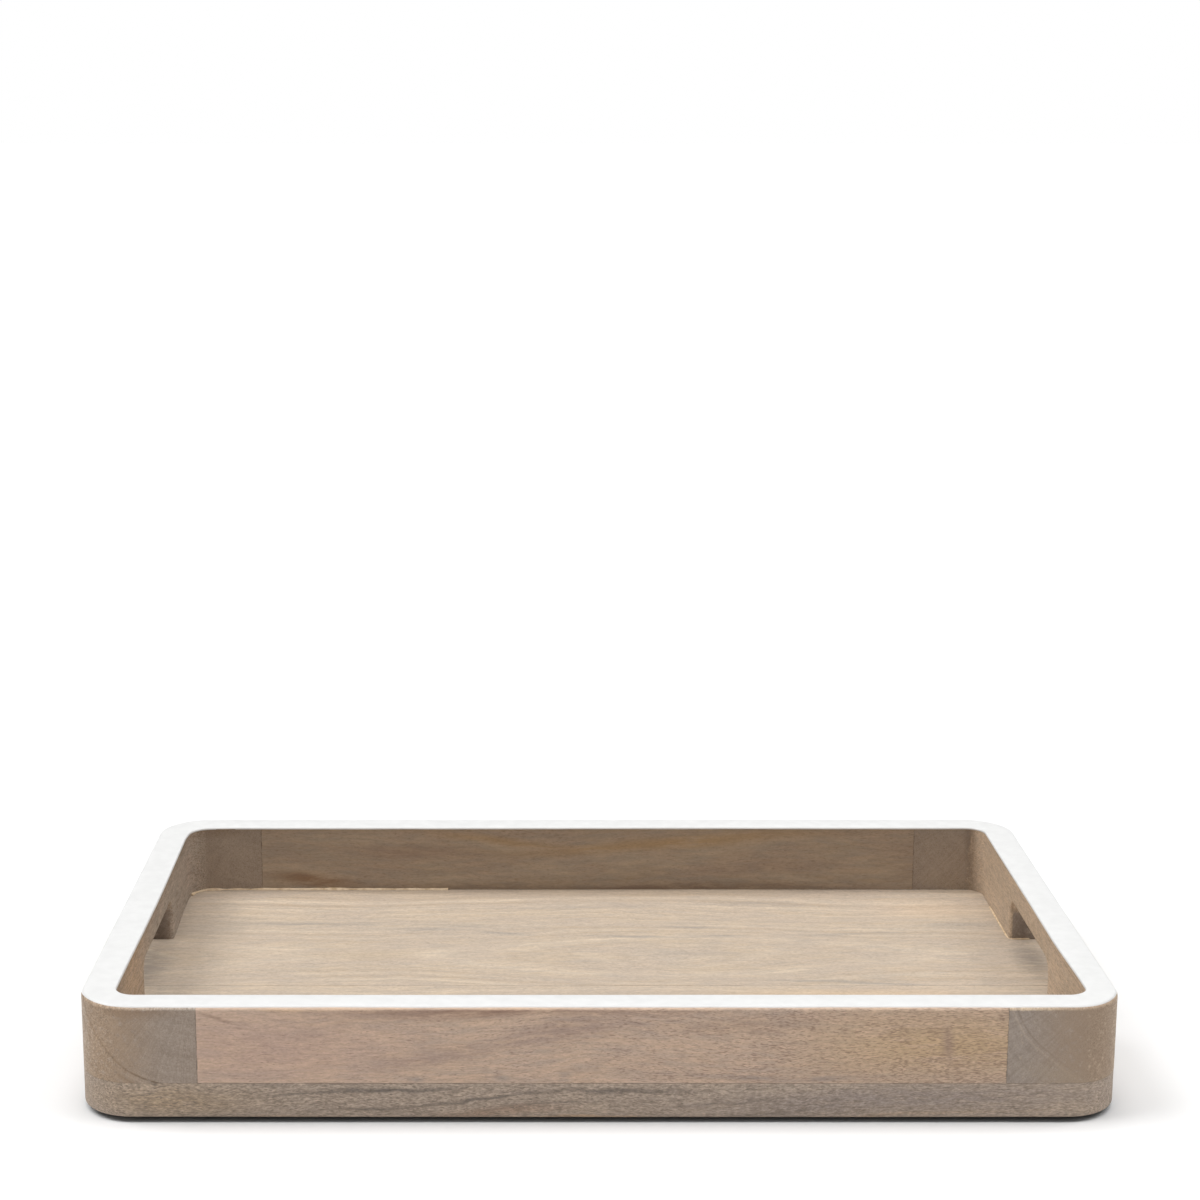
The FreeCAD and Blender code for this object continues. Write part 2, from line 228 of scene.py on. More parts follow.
def patterns_of_board(tree, grain, heart, ring_mm, eyes, drift, seed):
    """What a board's colour is made from: its patterns, and which way its surface faces."""
    at = in_millimetres(tree)
    split = add(tree, "SeparateXYZ", [at]).outputs
    shift = [seed * step for step in SEED_STEPS]
    sway = wandering(tree, at, grain, shift, drift)
    section = from_heart(tree, sway, split[grain], grain, heart, eyes)
    radius = add(tree, "VectorMath", [section], operation="LENGTH").outputs["Value"]
    bands = add(tree, "TexNoise", {
        "W": radius, "Scale": 1 / ring_mm, "Detail": 3.0, "Roughness": 0.62,
    }, noise_dimensions="1D")
    clouds, streaks, fibres, grit, pores = (
        drawn_out(tree, sway, grain, shift, size) for size in (CLOUDS, STREAKS, FIBRES, GRIT, PORES)
    )
    normal = add(tree, "NewGeometry").outputs["Normal"]
    tilt = add(tree, "SeparateXYZ", [normal]).outputs["Z"]
    level = add(tree, "Math", [tilt], operation="ABSOLUTE")
    upright = add(tree, "MapRange", [level, 0.3, 0.9, 1.0, 0.0])
    broken = add(tree, "MapRange", [streaks, 0.3, 0.5, 0.4, 1.0])
    return SimpleNamespace(
        tree=tree, grain=grain, at=at, split=split, shift=shift, sway=sway, section=section,
        radius=radius, bands=bands, clouds=clouds, streaks=streaks, fibres=fibres, grit=grit,
        pores=pores, normal=normal, tilt=tilt, upright=upright, broken=broken,
    )


def end_grain(wood, dark, light):
    """Where the surface looks along the log, and its colour there: dots and fine rays."""
    tree = wood.tree
    axis = [0.0, 0.0, 0.0]
    axis[wood.grain] = 1.0
    facing = add(tree, "VectorMath", [wood.normal, axis], operation="DOT_PRODUCT").outputs["Value"]
    facing = add(tree, "Math", [facing], operation="ABSOLUTE")
    ragged = add(tree, "MapRange", [wood.streaks, 0.3, 0.7, -0.03, 0.03])
    facing = add(tree, "Math", [facing, ragged], operation="ADD")
    mask = add(tree, "MapRange", [facing, 0.93, 0.985, 0.0, 1.0])
    dots = add(tree, "Mapping", {
        0: wood.at, "Location": wood.shift, "Scale": (1 / END_SPECKLE,) * 3,
    })
    dots = add(tree, "TexNoise", {"Vector": dots, "Scale": 1.0, "Detail": 2.0})
    rays = add(tree, "VectorMath", [wood.section], operation="NORMALIZE")
    rays = add(tree, "TexNoise", {"Vector": rays, "Scale": 60.0, "Detail": 1.0})
    rays = add(tree, "Math", [rays, dots], operation="ADD")
    rays = add(tree, "Math", [rays, wood.bands], operation="ADD")
    rays = add(tree, "MapRange", [rays, 1.15, 1.85, 0.0, 1.0])
    return mask, add(tree, "MixRGB", [rays, dark, light])


def dark_pores(wood, flecks):
    """How dark the pores make a place: dashes along the grain, dots where the grain ends."""
    tree = wood.tree
    crowd = add(tree, "MapRange", [wood.clouds, 0.35, 0.65, -0.04, 0.03])
    pores = add(tree, "Math", [wood.pores, crowd], operation="ADD")
    denser = add(tree, "Math", [wood.split[0], flecks[2] * MM], operation="MULTIPLY")
    pores = add(tree, "Math", [pores, denser], operation="ADD")
    darkest = add(tree, "MapRange", [wood.upright, 0.0, 1.0, flecks[0], flecks[1]])
    return add(tree, "MapRange", [pores, 0.56, 0.70, 0.0, darkest])


def with_rings(wood, colour, rings, dark, light):
    """The colour with the rings that stand out: a dark line, a light one outside it."""
    tree = wood.tree
    fade = add(tree, "MapRange", [wood.split[wood.grain], *RING_FADE, 1.0, 0.2])
    for ring, power in rings:
        for offset, tone, strength in ((0.0, dark, power), (LIGHT_LINE, light, 0.6 * power)):
            away = add(tree, "Math", [wood.radius, ring + offset], operation="SUBTRACT")
            away = add(tree, "Math", [away], operation="ABSOLUTE")
            amount = add(tree, "MapRange", [away, 0.15, 0.9, strength, 0.0])
            amount = add(tree, "Math", [amount, wood.broken], operation="MULTIPLY")
            amount = add(tree, "Math", [amount, fade], operation="MULTIPLY")
            colour = add(tree, "MixRGB", [amount, colour, tone])
    return colour


def with_mark(wood, colour, mark, standing):
    """The colour with one soft-edged streak or stain, on the flat or standing on a side."""
    # Marks are streaks and stains, and some are painted shade and painted highlights.
    tree = wood.tree
    x, height, length, width, degrees, tone, strength = mark
    turn = math.radians(degrees)
    centre = (x, 0, height) if standing else (x, height, 0)
    sizes = (length, THROUGH, width) if standing else (length, width, THROUGH)
    spin = (0, -turn, 0) if standing else (0, 0, turn)
    local = add(tree, "Mapping", {
        0: wood.sway, "Location": centre, "Rotation": spin, "Scale": sizes,
    }, vector_type="TEXTURE")
    away = add(tree, "VectorMath", [local], operation="LENGTH").outputs["Value"]
    amount = add(tree, "MapRange", [away, 0.0, 1.0, strength, 0.0],
                 interpolation_type="SMOOTHSTEP")
    amount = add(tree, "Math", [amount, wood.broken], operation="MULTIPLY")
    if standing:
        amount = add(tree, "Math", [amount, wood.upright], operation="MULTIPLY")
    return add(tree, "MixRGB", [amount, colour, linear(tone)])


def with_joint(wood, colour, joint):
    """The colour with the stain that gathers along a glued joint, in an uneven line."""
    tree = wood.tree
    direction, position, width = joint
    away = add(tree, "Math", [wood.split[direction], position], operation="SUBTRACT")
    away = add(tree, "Math", [away], operation="ABSOLUTE")
    uneven = add(tree, "MapRange", [wood.streaks, 0.35, 0.65, -0.6 * width, 0.6 * width])
    away = add(tree, "Math", [away, uneven], operation="ADD")
    amount = add(tree, "MapRange", [away, 0.0, width, 0.6, 0.0])
    return add(tree, "MixRGB", [amount, colour, linear(JOINT_STAIN)])


def mango(name, grain, heart, tones, ring_mm=7.0, eyes=None, drift=15.0, depth=(1.0, 0.55),
          fine=(0.35, 0.45), flecks=(0.5, 0.5, 0.0), rings=(), marks=(), side_marks=(),
          side_wash=None, shade_under=None, joints=(), seed=0.0):
    """Washed mango wood, sawn from a log whose middle runs along X (grain 0) or Y (grain 1).

    heart is where the middle of the log lies, in millimetres across the grain and up.
    tones are hex colours: early wood, late wood, tint, grey wash, pores, two of end grain.
    ring_mm is how far apart the growth rings are. eyes are the place, spacing and height of
    the humps that bend the rings to an eye. drift is how far the fibres wander, in mm.
    depth is how strong the rings and streaks are, and fine how strong the fibres are on the
    flat of the board and on its sides. flecks are how dark the pores are on the flat and on
    the sides, and how much denser they get per metre along X. rings are (radius, strength)
    of the rings that stand out. marks are streaks, stains, painted shade and painted
    highlights, each (x, y, half length, half width, turn in degrees, tone, strength), and
    side_marks are the same with z for y.
    side_wash is the tone and strength of extra stain on the sides, and shade_under the same
    for the painted shade on the underside. joints are glued faces: axis, place, line width.
    seed sets boards apart.
    """
    material, tree = new_material(name)
    early, late, tint, wash, pore, end_dark, end_light = (linear(tone) for tone in tones)
    wood = patterns_of_board(tree, grain, heart, ring_mm, eyes, drift, seed)

    # Colour on the long grain: rings, tint and streaks of grey wash.
    amount = add(tree, "MapRange", [wood.bands, 0.32, 0.68, 0.0, depth[0]])
    colour = add(tree, "MixRGB", [amount, early, late])
    amount = add(tree, "MapRange", [wood.clouds, 0.40, 0.62, 0.0, 0.8])
    colour = add(tree, "MixRGB", [amount, colour, tint])
    amount = add(tree, "MapRange", [wood.streaks, 0.38, 0.72, 0.0, depth[1]])
    colour = add(tree, "MixRGB", [amount, colour, wash])
    end_mask, end_colour = end_grain(wood, end_dark, end_light)
    colour = add(tree, "MixRGB", [end_mask, colour, end_colour])

    # More stain on the sides than on the sanded top. The underside is painted near black:
    # painted shade that keeps the gap beneath the tray dark.
    if side_wash:
        amount = add(tree, "Math", [wood.upright, side_wash[1]], operation="MULTIPLY")
        colour = add(tree, "MixRGB", [amount, colour, linear(side_wash[0])])
    if shade_under:
        amount = add(tree, "MapRange", [wood.tilt, -0.9, -0.4, shade_under[1], 0.0])
        colour = add(tree, "MixRGB", [amount, colour, linear(shade_under[0])])

    colour = with_rings(wood, colour, rings, pore, early)
    for mark in marks:
        colour = with_mark(wood, colour, mark, standing=False)
    for mark in side_marks:
        colour = with_mark(wood, colour, mark, standing=True)

    # The fibres are darker in the gaps, the grit is both lighter and darker, and both are
    # weaker on end grain.
    deep = add(tree, "MapRange", [wood.upright, 0.0, 1.0, fine[0], fine[1]])
    calm = add(tree, "MapRange", [end_mask, 0.0, 1.0, 1.0, 0.35])
    deep = add(tree, "Math", [deep, calm], operation="MULTIPLY")
    amount = add(tree, "MapRange", [wood.fibres, 0.42, 0.72, 0.0, deep])
    colour = add(tree, "MixRGB", [amount, colour, pore])
    amount = add(tree, "MapRange", [wood.grit, 0.25, 0.75, -0.5, 0.5])
    amount = add(tree, "Math", [amount, deep, 1.0], operation="MULTIPLY_ADD")
    colour = add(tree, "VectorMath", {0: colour, "Scale": amount}, operation="SCALE")
    pores = dark_pores(wood, flecks)
    colour = add(tree, "MixRGB", [pores, colour, pore])
    for joint in joints:
        colour = with_joint(wood, colour, joint)

    rough = add(tree, "MapRange", [wood.fibres, 0.3, 0.7, 0.56, 0.70])
    relief = add(tree, "Math", [wood.fibres, wood.grit], operation="ADD")
    relief = add(tree, "Math", [relief, 0.3], operation="MULTIPLY")
    relief = add(tree, "Math", [relief, pores], operation="SUBTRACT")
    bump = add(tree, "Bump", {"Height": relief, "Strength": 0.5, "Distance": 0.15 * MM})
    shader = add(tree, "BsdfPrincipled", {
        "Base Color": colour, "Roughness": rough, "IOR": MANGO_IOR,
        "Specular IOR Level": 0.3, "Normal": bump,
    })
    add(tree, "OutputMaterial", [shader])
    return material


# How the wooden pieces are worked, in mm. Every edge is eased with sandpaper, and the outer
# edge along the top of the walls is rounded more.
EASED_EDGE = 0.5
RIM_EDGE = 1.5
OUTER_RADIUS = 32
OUTER_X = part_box("right_end")[1].x / MM
OUTER_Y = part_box("back_rail")[1].y / MM
WALL_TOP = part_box("front_rail")[1].z / MM
# The inner faces of the ends aren't straight: the left one is bowed inwards, most of all low
# down, and the right one is bowed outwards and splayed towards the front.
BOW_SPAN = 330
BOW_RUN = 35
LEFT_BOW_FROM = 235
LEFT_BOW = 1.1
LEFT_BELLY = 1.3
BELLY_HEIGHT = 45
RIGHT_BOW_FROM = 238
RIGHT_BOW = 0.5
RIGHT_SPLAY = 2.1
SPLAY_FROM_Y = -60
SPLAY_RUN = 90
OUTER_SKIN = 20
# The inner corner at the back left is rounder than the others.
BLUNT_CORNER = (-276.5, 158.5)
BLUNT_BY = 2.2
BLUNT_REACH = 24
# The right joints lie a little further out than the left ones.
JOINT_OFF = 1.9
JOINT_REACH = 30
# All over, the faces are a little uneven, always in the same way.
HAND_WAVE = 140
HAND_DEPTH = 0.2
noise.seed_set(1)


def smooth(value):
    """0 below 0, 1 above 1, and an even rise between."""
    value = min(max(value, 0.0), 1.0)
    return value * value * (3 - 2 * value)


def by_hand(point):
    """Where sanding by hand left a point of the tray."""
    x, y, z = point / MM
    moved = Vector((x, y, z))
    mid = math.cos(math.pi * y / BOW_SPAN) ** 2 if abs(y) < BOW_SPAN / 2 else 0.0
    skin = min((OUTER_X - abs(x)) / OUTER_SKIN, 1.0)
    if z > BASE_TOP - 0.1 and x < 0:
        low = smooth(1 - (z - BASE_TOP) / BELLY_HEIGHT)
        inner = skin * smooth((-x - LEFT_BOW_FROM) / BOW_RUN)
        moved.x += mid * (LEFT_BOW + LEFT_BELLY * low) * inner
        near = math.hypot(x - BLUNT_CORNER[0], y - BLUNT_CORNER[1])
        moved += Vector((0.7, -0.7, 0)) * BLUNT_BY * smooth(1 - near / BLUNT_REACH)
    elif z > BASE_TOP - 0.1:
        inner = skin * smooth((x - RIGHT_BOW_FROM) / BOW_RUN)
        moved.x += (RIGHT_BOW * mid + RIGHT_SPLAY * smooth((SPLAY_FROM_Y - y) / SPLAY_RUN)) * inner
        moved.x += JOINT_OFF * smooth(1 - abs(x - JOINT_X) / JOINT_REACH)
    uneven = noise.noise_vector(point / (HAND_WAVE * MM)) * HAND_DEPTH
    return (moved + uneven) * MM


def is_outer_rim(edge):
    """Whether an edge runs along the top of the walls on the outside."""
    middle = (edge.verts[0].co + edge.verts[1].co) / 2 / MM
    past_x = max(abs(middle.x) - (OUTER_X - OUTER_RADIUS), 0.0)
    past_y = max(abs(middle.y) - (OUTER_Y - OUTER_RADIUS), 0.0)
    from_face = abs(math.hypot(past_x, past_y) - OUTER_RADIUS)
    return from_face < 0.5 and abs(middle.z - WALL_TOP) < 0.1


def sharp_edges(work, wanted):
    """The sharp edges that are wanted."""
    return [
        edge for edge in work.edges
        if len(edge.link_faces) == 2 and edge.calc_face_angle() > math.radians(35) and wanted(edge)
    ]


def cut_across(work, node):
    """Cuts the long flat faces every 18 mm, so that they can be bent."""
    step = 18 * MM
    lowest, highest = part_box(node)
    for axis in (0, 1):
        for k in range(1, int((highest[axis] - lowest[axis]) / step) + 1):
            spot, out = Vector((0, 0, 0)), Vector((0, 0, 0))
            spot[axis] = lowest[axis] + k * step
            out[axis] = 1.0
            everything = [*work.verts, *work.edges, *work.faces]
            bmesh.ops.bisect_plane(work, geom=everything, plane_co=spot, plane_no=out)


def new_piece(name, mesh, material):
    """A piece of the tray, made of one material."""
    mesh.materials.clear()
    mesh.materials.append(material)
    piece = bpy.data.objects.new(name, mesh)
    scene.collection.objects.link(piece)
    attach(piece, "root")
    return piece


def shade_smooth(mesh):
    """Shades all of a mesh's faces as parts of one curved face."""
    mesh.polygons.foreach_set("use_smooth", [True] * len(mesh.polygons))


def worked_copy(node, name, material):
    """A CAD piece's own shape with sanded edges, in place of that piece."""
    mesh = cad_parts[node].data.copy()
    mesh.name = name
    work = bmesh.new()
    work.from_mesh(mesh)
    bmesh.ops.remove_doubles(work, verts=work.verts, dist=0.002 * MM)
    bmesh.ops.dissolve_limit(
        work, angle_limit=math.radians(0.4), verts=work.verts, edges=work.edges
    )
    for ease, turns, wanted in ((RIM_EDGE, 4, is_outer_rim), (EASED_EDGE, 2, bool)):
        bmesh.ops.bevel(
            work, geom=sharp_edges(work, wanted), offset=ease * MM, segments=turns,
            profile=0.5, affect="EDGES", clamp_overlap=True,
        )
    cut_across(work, node)
    for vert in work.verts:
        vert.co = by_hand(vert.co)
    work.to_mesh(mesh)
    work.free()
    shade_smooth(mesh)
    mesh.set_sharp_from_angle(angle=math.radians(50))
    piece = new_piece(name, mesh, material)
    flat = piece.modifiers.new("flat_faces", "WEIGHTED_NORMAL")
    flat.keep_sharp = True
    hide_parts(node)
    return piece


BASE_TONES = ("cfbda7", "b8a58f", "bfae9c", "a79e94", "84776a", "85786c", "9a8d80")
GREY = "9a938b"
DARK_GREY = "6a625c"
front_floor_marks = [
    (160, -44, 130, 18, 0, "cdac86", 0.5),
    # Painted shade: a grey haze on the floor at the mouth of the left hand slot.
    (-262, -20, 40, 60, 0, GREY, 0.2),
]
front_side_marks = [
    (-120, UNDERSIDE + 18, 70, 1.9, 2, DARK_GREY, 0.9),
    (-165, UNDERSIDE + 15, 60, 1.3, 4, DARK_GREY, 0.7),
    (-70, UNDERSIDE + 12, 80, 1.5, 4, DARK_GREY, 0.8),
    (10, UNDERSIDE + 17, 70, 2.2, 3, DARK_GREY, 0.75),
    (-130, UNDERSIDE + 7, 60, 1.3, 4, DARK_GREY, 0.7),
    (-40, UNDERSIDE + 8, 60, 1.2, 4, DARK_GREY, 0.6),
    (70, UNDERSIDE + 12, 60, 1.4, 4, DARK_GREY, 0.5),
    (110, UNDERSIDE + 6, 50, 1.2, 5, DARK_GREY, 0.4),
    (-60, UNDERSIDE + 5, 60, 4.5, 2, "b08f78", 0.6),
    (-245, UNDERSIDE + 12, 75, 15, 0, "b89d7a", 0.55),
    (170, UNDERSIDE + 11, 170, 14, 0, "9d908a", 0.75),
    # Painted highlight: a light line along the rounded lower edge of the front face.
    (0, UNDERSIDE + 0.5, 330, 1.8, 0, "b99b7c", 0.8),
]
back_floor_marks = [
    (-190, 91, 85, 6.5, -2.5, GREY, 0.7),
    (-83, 85, 50, 5.0, -4.6, GREY, 0.6),
    (-113, 78, 45, 4.5, -4.4, GREY, 0.55),
    (-56, 71, 34, 4.0, -9, GREY, 0.55),
    (25, 62, 56, 4.0, -3, GREY, 0.8),
    (66, 82, 34, 4.0, 0, GREY, 0.6),
    (86, 63, 38, 3.8, 6.5, GREY, 0.65),
    (176, 71, 75, 4.5, 5, GREY, 0.5),
    (165, -21, 110, 4.0, -5.9, GREY, 0.7),
    (-256, 86, 44, 30, 0, GREY, 0.25),
    (225, 45, 90, 45, 0, GREY, 0.1),
    (250, 85, 50, 12, 0, GREY, 0.4),
    # Painted shade: grey patches on the floor in the mouths of the hand slots, shaded by the walls.
    (-290, 12, 26, 56, 0, "77716b", 0.6),
    (288, 22, 17, 46, 0, "77716b", 0.55),
    (-150, 28, 60, 16, 0, "b49f83", 0.4),
    (60, 28, 60, 10, 0, "a99d90", 0.4),
    (-20, 120, 120, 10, 2, "ab9f93", 0.5),
    (120, 130, 70, 10, -2, "a1978d", 0.5),
    # Painted shade: a darker band on the floor along the foot of the back wall, and a darker patch
    # along the left wall.
    (0, 165, 340, 40, 0, "a8937c", 0.45),
    (-290, 100, 60, 110, 0, "a08f7d", 0.35),
    (235, 120, 60, 30, 0, "d2b79a", 0.4),
]
base_finish = {
    "drift": 22.0, "fine": (0.24, 0.65), "side_wash": ("b39f90", 0.62),
    # shade_under paints the underside near black: painted shade for the gap beneath the tray.
    "shade_under": ("35312d", 0.95), "joints": [(1, BASE_SEAM_Y, 0.3)],
}
base_front_wood = mango(
    "washed_mango_front_board", 0, (-190, 60), BASE_TONES, depth=(0.8, 0.5),
    flecks=(0.35, 1.0, -0.15), marks=front_floor_marks, side_marks=front_side_marks,
    seed=1.0, **base_finish,
)
base_back_wood = mango(
    "washed_mango_back_board", 0, (28, -14), BASE_TONES, ring_mm=8.0,
    eyes=(-147.0, 400.0, 8.0), depth=(1.0, 0.5), flecks=(0.35, 1.0, 0.0),
    marks=back_floor_marks, seed=2.0, **base_finish,
)
worked_copy("base_board_front", "base_front", base_front_wood)
worked_copy("base_board_back", "base_back", base_back_wood)


# Rails: straight boards between the end pieces, from a lighter plank that runs from pink to
# yellow, washed as the base is, then glued and doweled to the end pieces.
FRONT_RAIL_TONES = ("d9bca3", "c8ac95", "d0b5a0", "ac9d93", "786052", "9a8673", "ac9884")
BACK_RAIL_TONES = ("c6b39d", "b09c87", "b8a390", "99928a", "6e5c4c", "9a8673", "ac9884")
RAIL_JOINTS = [(0, -JOINT_X, 0.4), (0, JOINT_X + JOINT_OFF, 0.4), (2, BASE_TOP, 0.35)]
front_rail_marks = [
    (-190, BASE_TOP + 21, 130, 34, 0, "c3a293", 0.5),
    (200, BASE_TOP + 23, 130, 34, 0, "cfb088", 0.75),
    (-50, BASE_TOP + 43, 150, 8, 0, "8f6f5e", 0.8),
    (-190, BASE_TOP + 45, 45, 2.6, 0, "d8b48c", 0.7),
    (-219, BASE_TOP + 38.5, 15, 2.2, -20, "866b5b", 0.7),
    (-20, BASE_TOP + 29, 70, 12, 8, "968079", 0.5),
    (-95, BASE_TOP + 15, 60, 10, 10, "9c857c", 0.4),
    (80, BASE_TOP + 34, 70, 8, 4, "98806f", 0.4),
    (198, BASE_TOP + 23, 5.5, 22, 4, "957f7a", 0.5),
    (95, BASE_TOP + 3, 140, 3.0, 0, "918782", 0.6),
    (-105, BASE_TOP, 7, 3.4, 0, "9a928c", 0.5),
    (-56, BASE_TOP, 7, 3.4, 0, "9a928c", 0.5),
    (-20, BASE_TOP, 6, 4.4, 0, "9a928c", 0.5),
]
front_rail_wood = mango(
    "washed_mango_front_rail", 0, (-120, 45), FRONT_RAIL_TONES, ring_mm=6.0,
    depth=(0.9, 0.5), fine=(0.2, 0.24), flecks=(0.5, 0.55, 0.36), side_marks=front_rail_marks,
    joints=RAIL_JOINTS, seed=3.0,
)
back_rail_marks = [
    (-195, BASE_TOP + 7, 50, 6, -6, "8a6443", 0.7),
    (-205, BASE_TOP + 21, 45, 5, -22, "a8988b", 0.5),
    # Painted shade: a dark band along the foot of the back wall, where it meets the floor.
    (40, BASE_TOP + 2, 240, 6, 0, "7d6452", 0.6),
    (60, BASE_TOP + 35, 180, 7, 3, "bd9a6c", 0.6),
    (-60, BASE_TOP + 38, 90, 5, -4, "bd9a6c", 0.5),
    (-120, BASE_TOP + 28, 70, 9, 0, "a08474", 0.5),
    (120, BASE_TOP + 16, 90, 8, 2, "9c8577", 0.4),
    (240, BASE_TOP + 20, 40, 34, 0, "9d8c80", 0.4),
]
back_rail_wood = mango(
    "washed_mango_back_rail", 0, (120, 45), BACK_RAIL_TONES, ring_mm=6.0, depth=(0.9, 0.5),
    fine=(0.15, 0.15), flecks=(0.3, 0.3, 0.0), side_marks=back_rail_marks, joints=RAIL_JOINTS,
    seed=4.0,
)
worked_copy("front_rail", "rail_front", front_rail_wood)
worked_copy("back_rail", "rail_back", back_rail_wood)


# End pieces: each is sawn to a C from one wide board with its grain along Y, so its legs
# show end grain on the long sides of the tray and long grain round the corners. The hand
# slots are notches in their lower edges.
LEFT_TONES = ("c2b1a2", "ad9d8f", "b5a799", "9d958c", "64523f", "98897c", "b0a092")
RIGHT_TONES = ("d6bfa6", "c1ab93", "c9b49c", "aa9f93", "6c5a49", "978a7f", "aea094")
SLOT_REACH = 59
left_marks = [
    # Painted shade: dark patches at both ends of the hand slot, which lie in its shadow.
    (-290, SLOT_REACH, 11, 4, 0, "5f5044", 0.7),
    (-290, -SLOT_REACH, 11, 4, 0, "5f5044", 0.6),
    (-262, 168, 60, 24, 0, "c4b4a4", 0.65),
    (-284, -176, 40, 34, 0, "ae947a", 0.6),
    (-284, -176, 40, 34, 0, "ae947a", 0.5),
    (-283, -95, 14, 90, 0, "d8b896", 0.75),
]
left_side_marks = [(-262, BASE_TOP + 43, 36, 8, 0, "8a6d52", 0.4)]
right_marks = [
    # Painted shade: dark patches at both ends of the hand slot, which lie in its shadow.
    (290, SLOT_REACH, 11, 4, 0, "6b5e54", 0.5),
    (290, -SLOT_REACH, 11, 4, 0, "6b5e54", 0.5),
    (258, 168, 50, 24, 0, "c0b0a0", 0.5),
    # Painted shade: a dark upright band in the back right inner corner.
    (272, 162, 6, 12, 0, "6f6054", 0.5),
    (284, -178, 46, 38, 0, "a48e79", 0.8),
    (284, -178, 46, 38, 0, "a48e79", 0.8),
]
right_side_marks = [(262, BASE_TOP + 4, 40, 10, -15, "b5a48f", 0.3)]
left_wood = mango(
    "washed_mango_left_end", 1, (-231.5, 91), LEFT_TONES, ring_mm=9.0, drift=6.0,
    rings=((69.3, 0.85), (74.5, 0.5), (84.0, 0.4)), depth=(0.7, 0.5), fine=(0.45, 0.45),
    flecks=(0.4, 0.4, 0.0), marks=left_marks, side_marks=left_side_marks,
    joints=RAIL_JOINTS, seed=5.0,
)
right_wood = mango(
    "washed_mango_right_end", 1, (316, 104), RIGHT_TONES, ring_mm=9.0, drift=6.0,
    rings=((87.0, 0.35), (52.0, 0.3)), depth=(0.5, 0.35), fine=(0.3, 0.3),
    flecks=(0.4, 0.4, 0.0), marks=right_marks, side_marks=right_side_marks,
    joints=RAIL_JOINTS, seed=6.0,
)
worked_copy("left_end", "end_left", left_wood)
worked_copy("right_end", "end_right", right_wood)


# Rim: white enamel brushed over the tops of the walls. In front it stops two millimetres
# short of the face, and everywhere else it laps down over the rounded edge. Its edges wander
# as those of a hand-painted coat do. All sizes here are in mm.
FRONT_INSET = 2.2
FRONT_LAP = 0.1
SIDE_LAP = 1.7
INNER_LAP = 0.5
FILM = 0.08
WALL = (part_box("front_rail")[1].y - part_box("front_rail")[0].y) / MM
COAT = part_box("rim_enamel")[1].z / MM - WALL_TOP
RIM_STEP = 3
CORNER_TURNS = 14


def rim_stations():
    """Points round the outer edge of the walls, each with its outward direction."""
    reach_x = OUTER_X - OUTER_RADIUS
    reach_y = OUTER_Y - OUTER_RADIUS
    corners = [(reach_x, -reach_y), (reach_x, reach_y), (-reach_x, reach_y), (-reach_x, -reach_y)]
    stations = []
    for number, (x, y) in enumerate(corners):
        start = -math.pi / 2 + number * math.pi / 2
        for k in range(CORNER_TURNS + 1):
            angle = start + k * math.pi / 2 / CORNER_TURNS
            out = Vector((math.cos(angle), math.sin(angle), 0))
            stations.append((Vector((x, y, WALL_TOP)) + out * OUTER_RADIUS, out))
        next_x, next_y = corners[(number + 1) % 4]
        run = Vector((next_x - x, next_y - y, 0))
        steps = round(run.length / RIM_STEP)
        edge = Vector((x, y, WALL_TOP)) + out * OUTER_RADIUS
        stations += [(edge + run * k / steps, out) for k in range(1, steps)]
    return stations


def stray(point, channel):
    """How far a brushed edge strays at a point, between about -0.5 and 0.5."""
    return noise.noise(Vector((point.x, point.y, channel * 10)) / 45)


def rim_section(spot, out):
    """The coat's cross-section at one place: up the outside, over the top, down inside.

    Its points are (across, up) from the outer edge of the top of the wall.
    """
    inner = spot - out * WALL
    outer_film = FILM * (1.2 + 0.8 * stray(spot * 2, 5))
    inner_film = FILM * (1.2 + 0.8 * stray(inner * 2, 6))
    front_lap = FRONT_LAP * (1 + 0.5 * stray(spot, 1) + 0.25 * stray(spot * 4, 2))
    inner_lap = INNER_LAP * (1 + 0.5 * stray(inner, 3) + 0.25 * stray(inner * 4, 4))
    wander = 1 + 0.2 * stray(spot, 7) + 0.1 * stray(spot * 4, 8)
    inset, side_lap = FRONT_INSET * wander, SIDE_LAP * wander
    crown = COAT - 0.03
    front_edge = [
        (-inset - 0.2, -0.3), (-inset + outer_film, -front_lap - 0.15), (-inset, 0.05),
        (-inset - 0.25, 0.2), (-inset - 0.6, crown - 0.06), (-inset - 1.1, crown),
    ]
    side_edge = [
        (-0.3, -side_lap), (outer_film, -side_lap), (outer_film, -1.3),
        (-0.35, -0.3), (-1.2, crown - 0.03), (-1.9, crown),
    ]
    front = smooth(-out.y)
    outer_edge = [
        Vector(here) * front + Vector(there) * (1 - front)
        for here, there in zip(front_edge, side_edge)
    ]
    top_and_inner_edge = [
        (-WALL / 2, COAT), (-WALL + 0.8, crown), (-WALL + 0.25, crown - 0.08),
        (-WALL - inner_film * 0.4, 0.15), (-WALL - inner_film, 0.0),
        (-WALL - inner_film, -inner_lap + 0.1), (-WALL + 0.2, -inner_lap), (-WALL + 0.2, -0.3),
    ]
    up = Vector((0, 0, 1))
    return [
        by_hand((spot + out * across + up * rise) * MM)
        for across, rise in [*outer_edge, *top_and_inner_edge]
    ]


def joined_rings(work, rings):
    """Faces between rings of as many points each."""
    for here, there in zip(rings, rings[1:]):
        for k in range(len(here)):
            after = (k + 1) % len(here)
            work.faces.new((here[k], here[after], there[after], there[k]))


